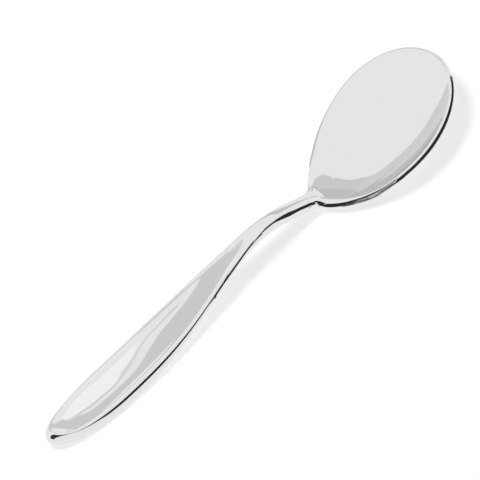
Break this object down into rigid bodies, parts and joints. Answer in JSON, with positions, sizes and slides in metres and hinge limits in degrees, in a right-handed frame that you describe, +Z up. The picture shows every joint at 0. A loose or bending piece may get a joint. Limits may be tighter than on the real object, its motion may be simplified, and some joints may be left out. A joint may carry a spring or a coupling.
{
  "type": "teaspoon",
  "caption": "Teaspoon in one piece of polished stainless steel: a leaf-shaped dished handle, an arched round neck and an egg-shaped bowl for stirring and scooping.",
  "frame": {"origin": "on the table, under the middle of the spoon's box", "axes": "+X along the spoon from the handle's tip to the bowl's tip, +Y across it, +Z up out of the bowl"},
  "size_m": [0.1372, 0.0334, 0.0118],
  "materials": {
    "polished_steel": "mirror-polished stainless steel, not plated"
  },
  "bodies": {
    "root": {"spoon": "polished_steel"}
  },
  "joints": []
}
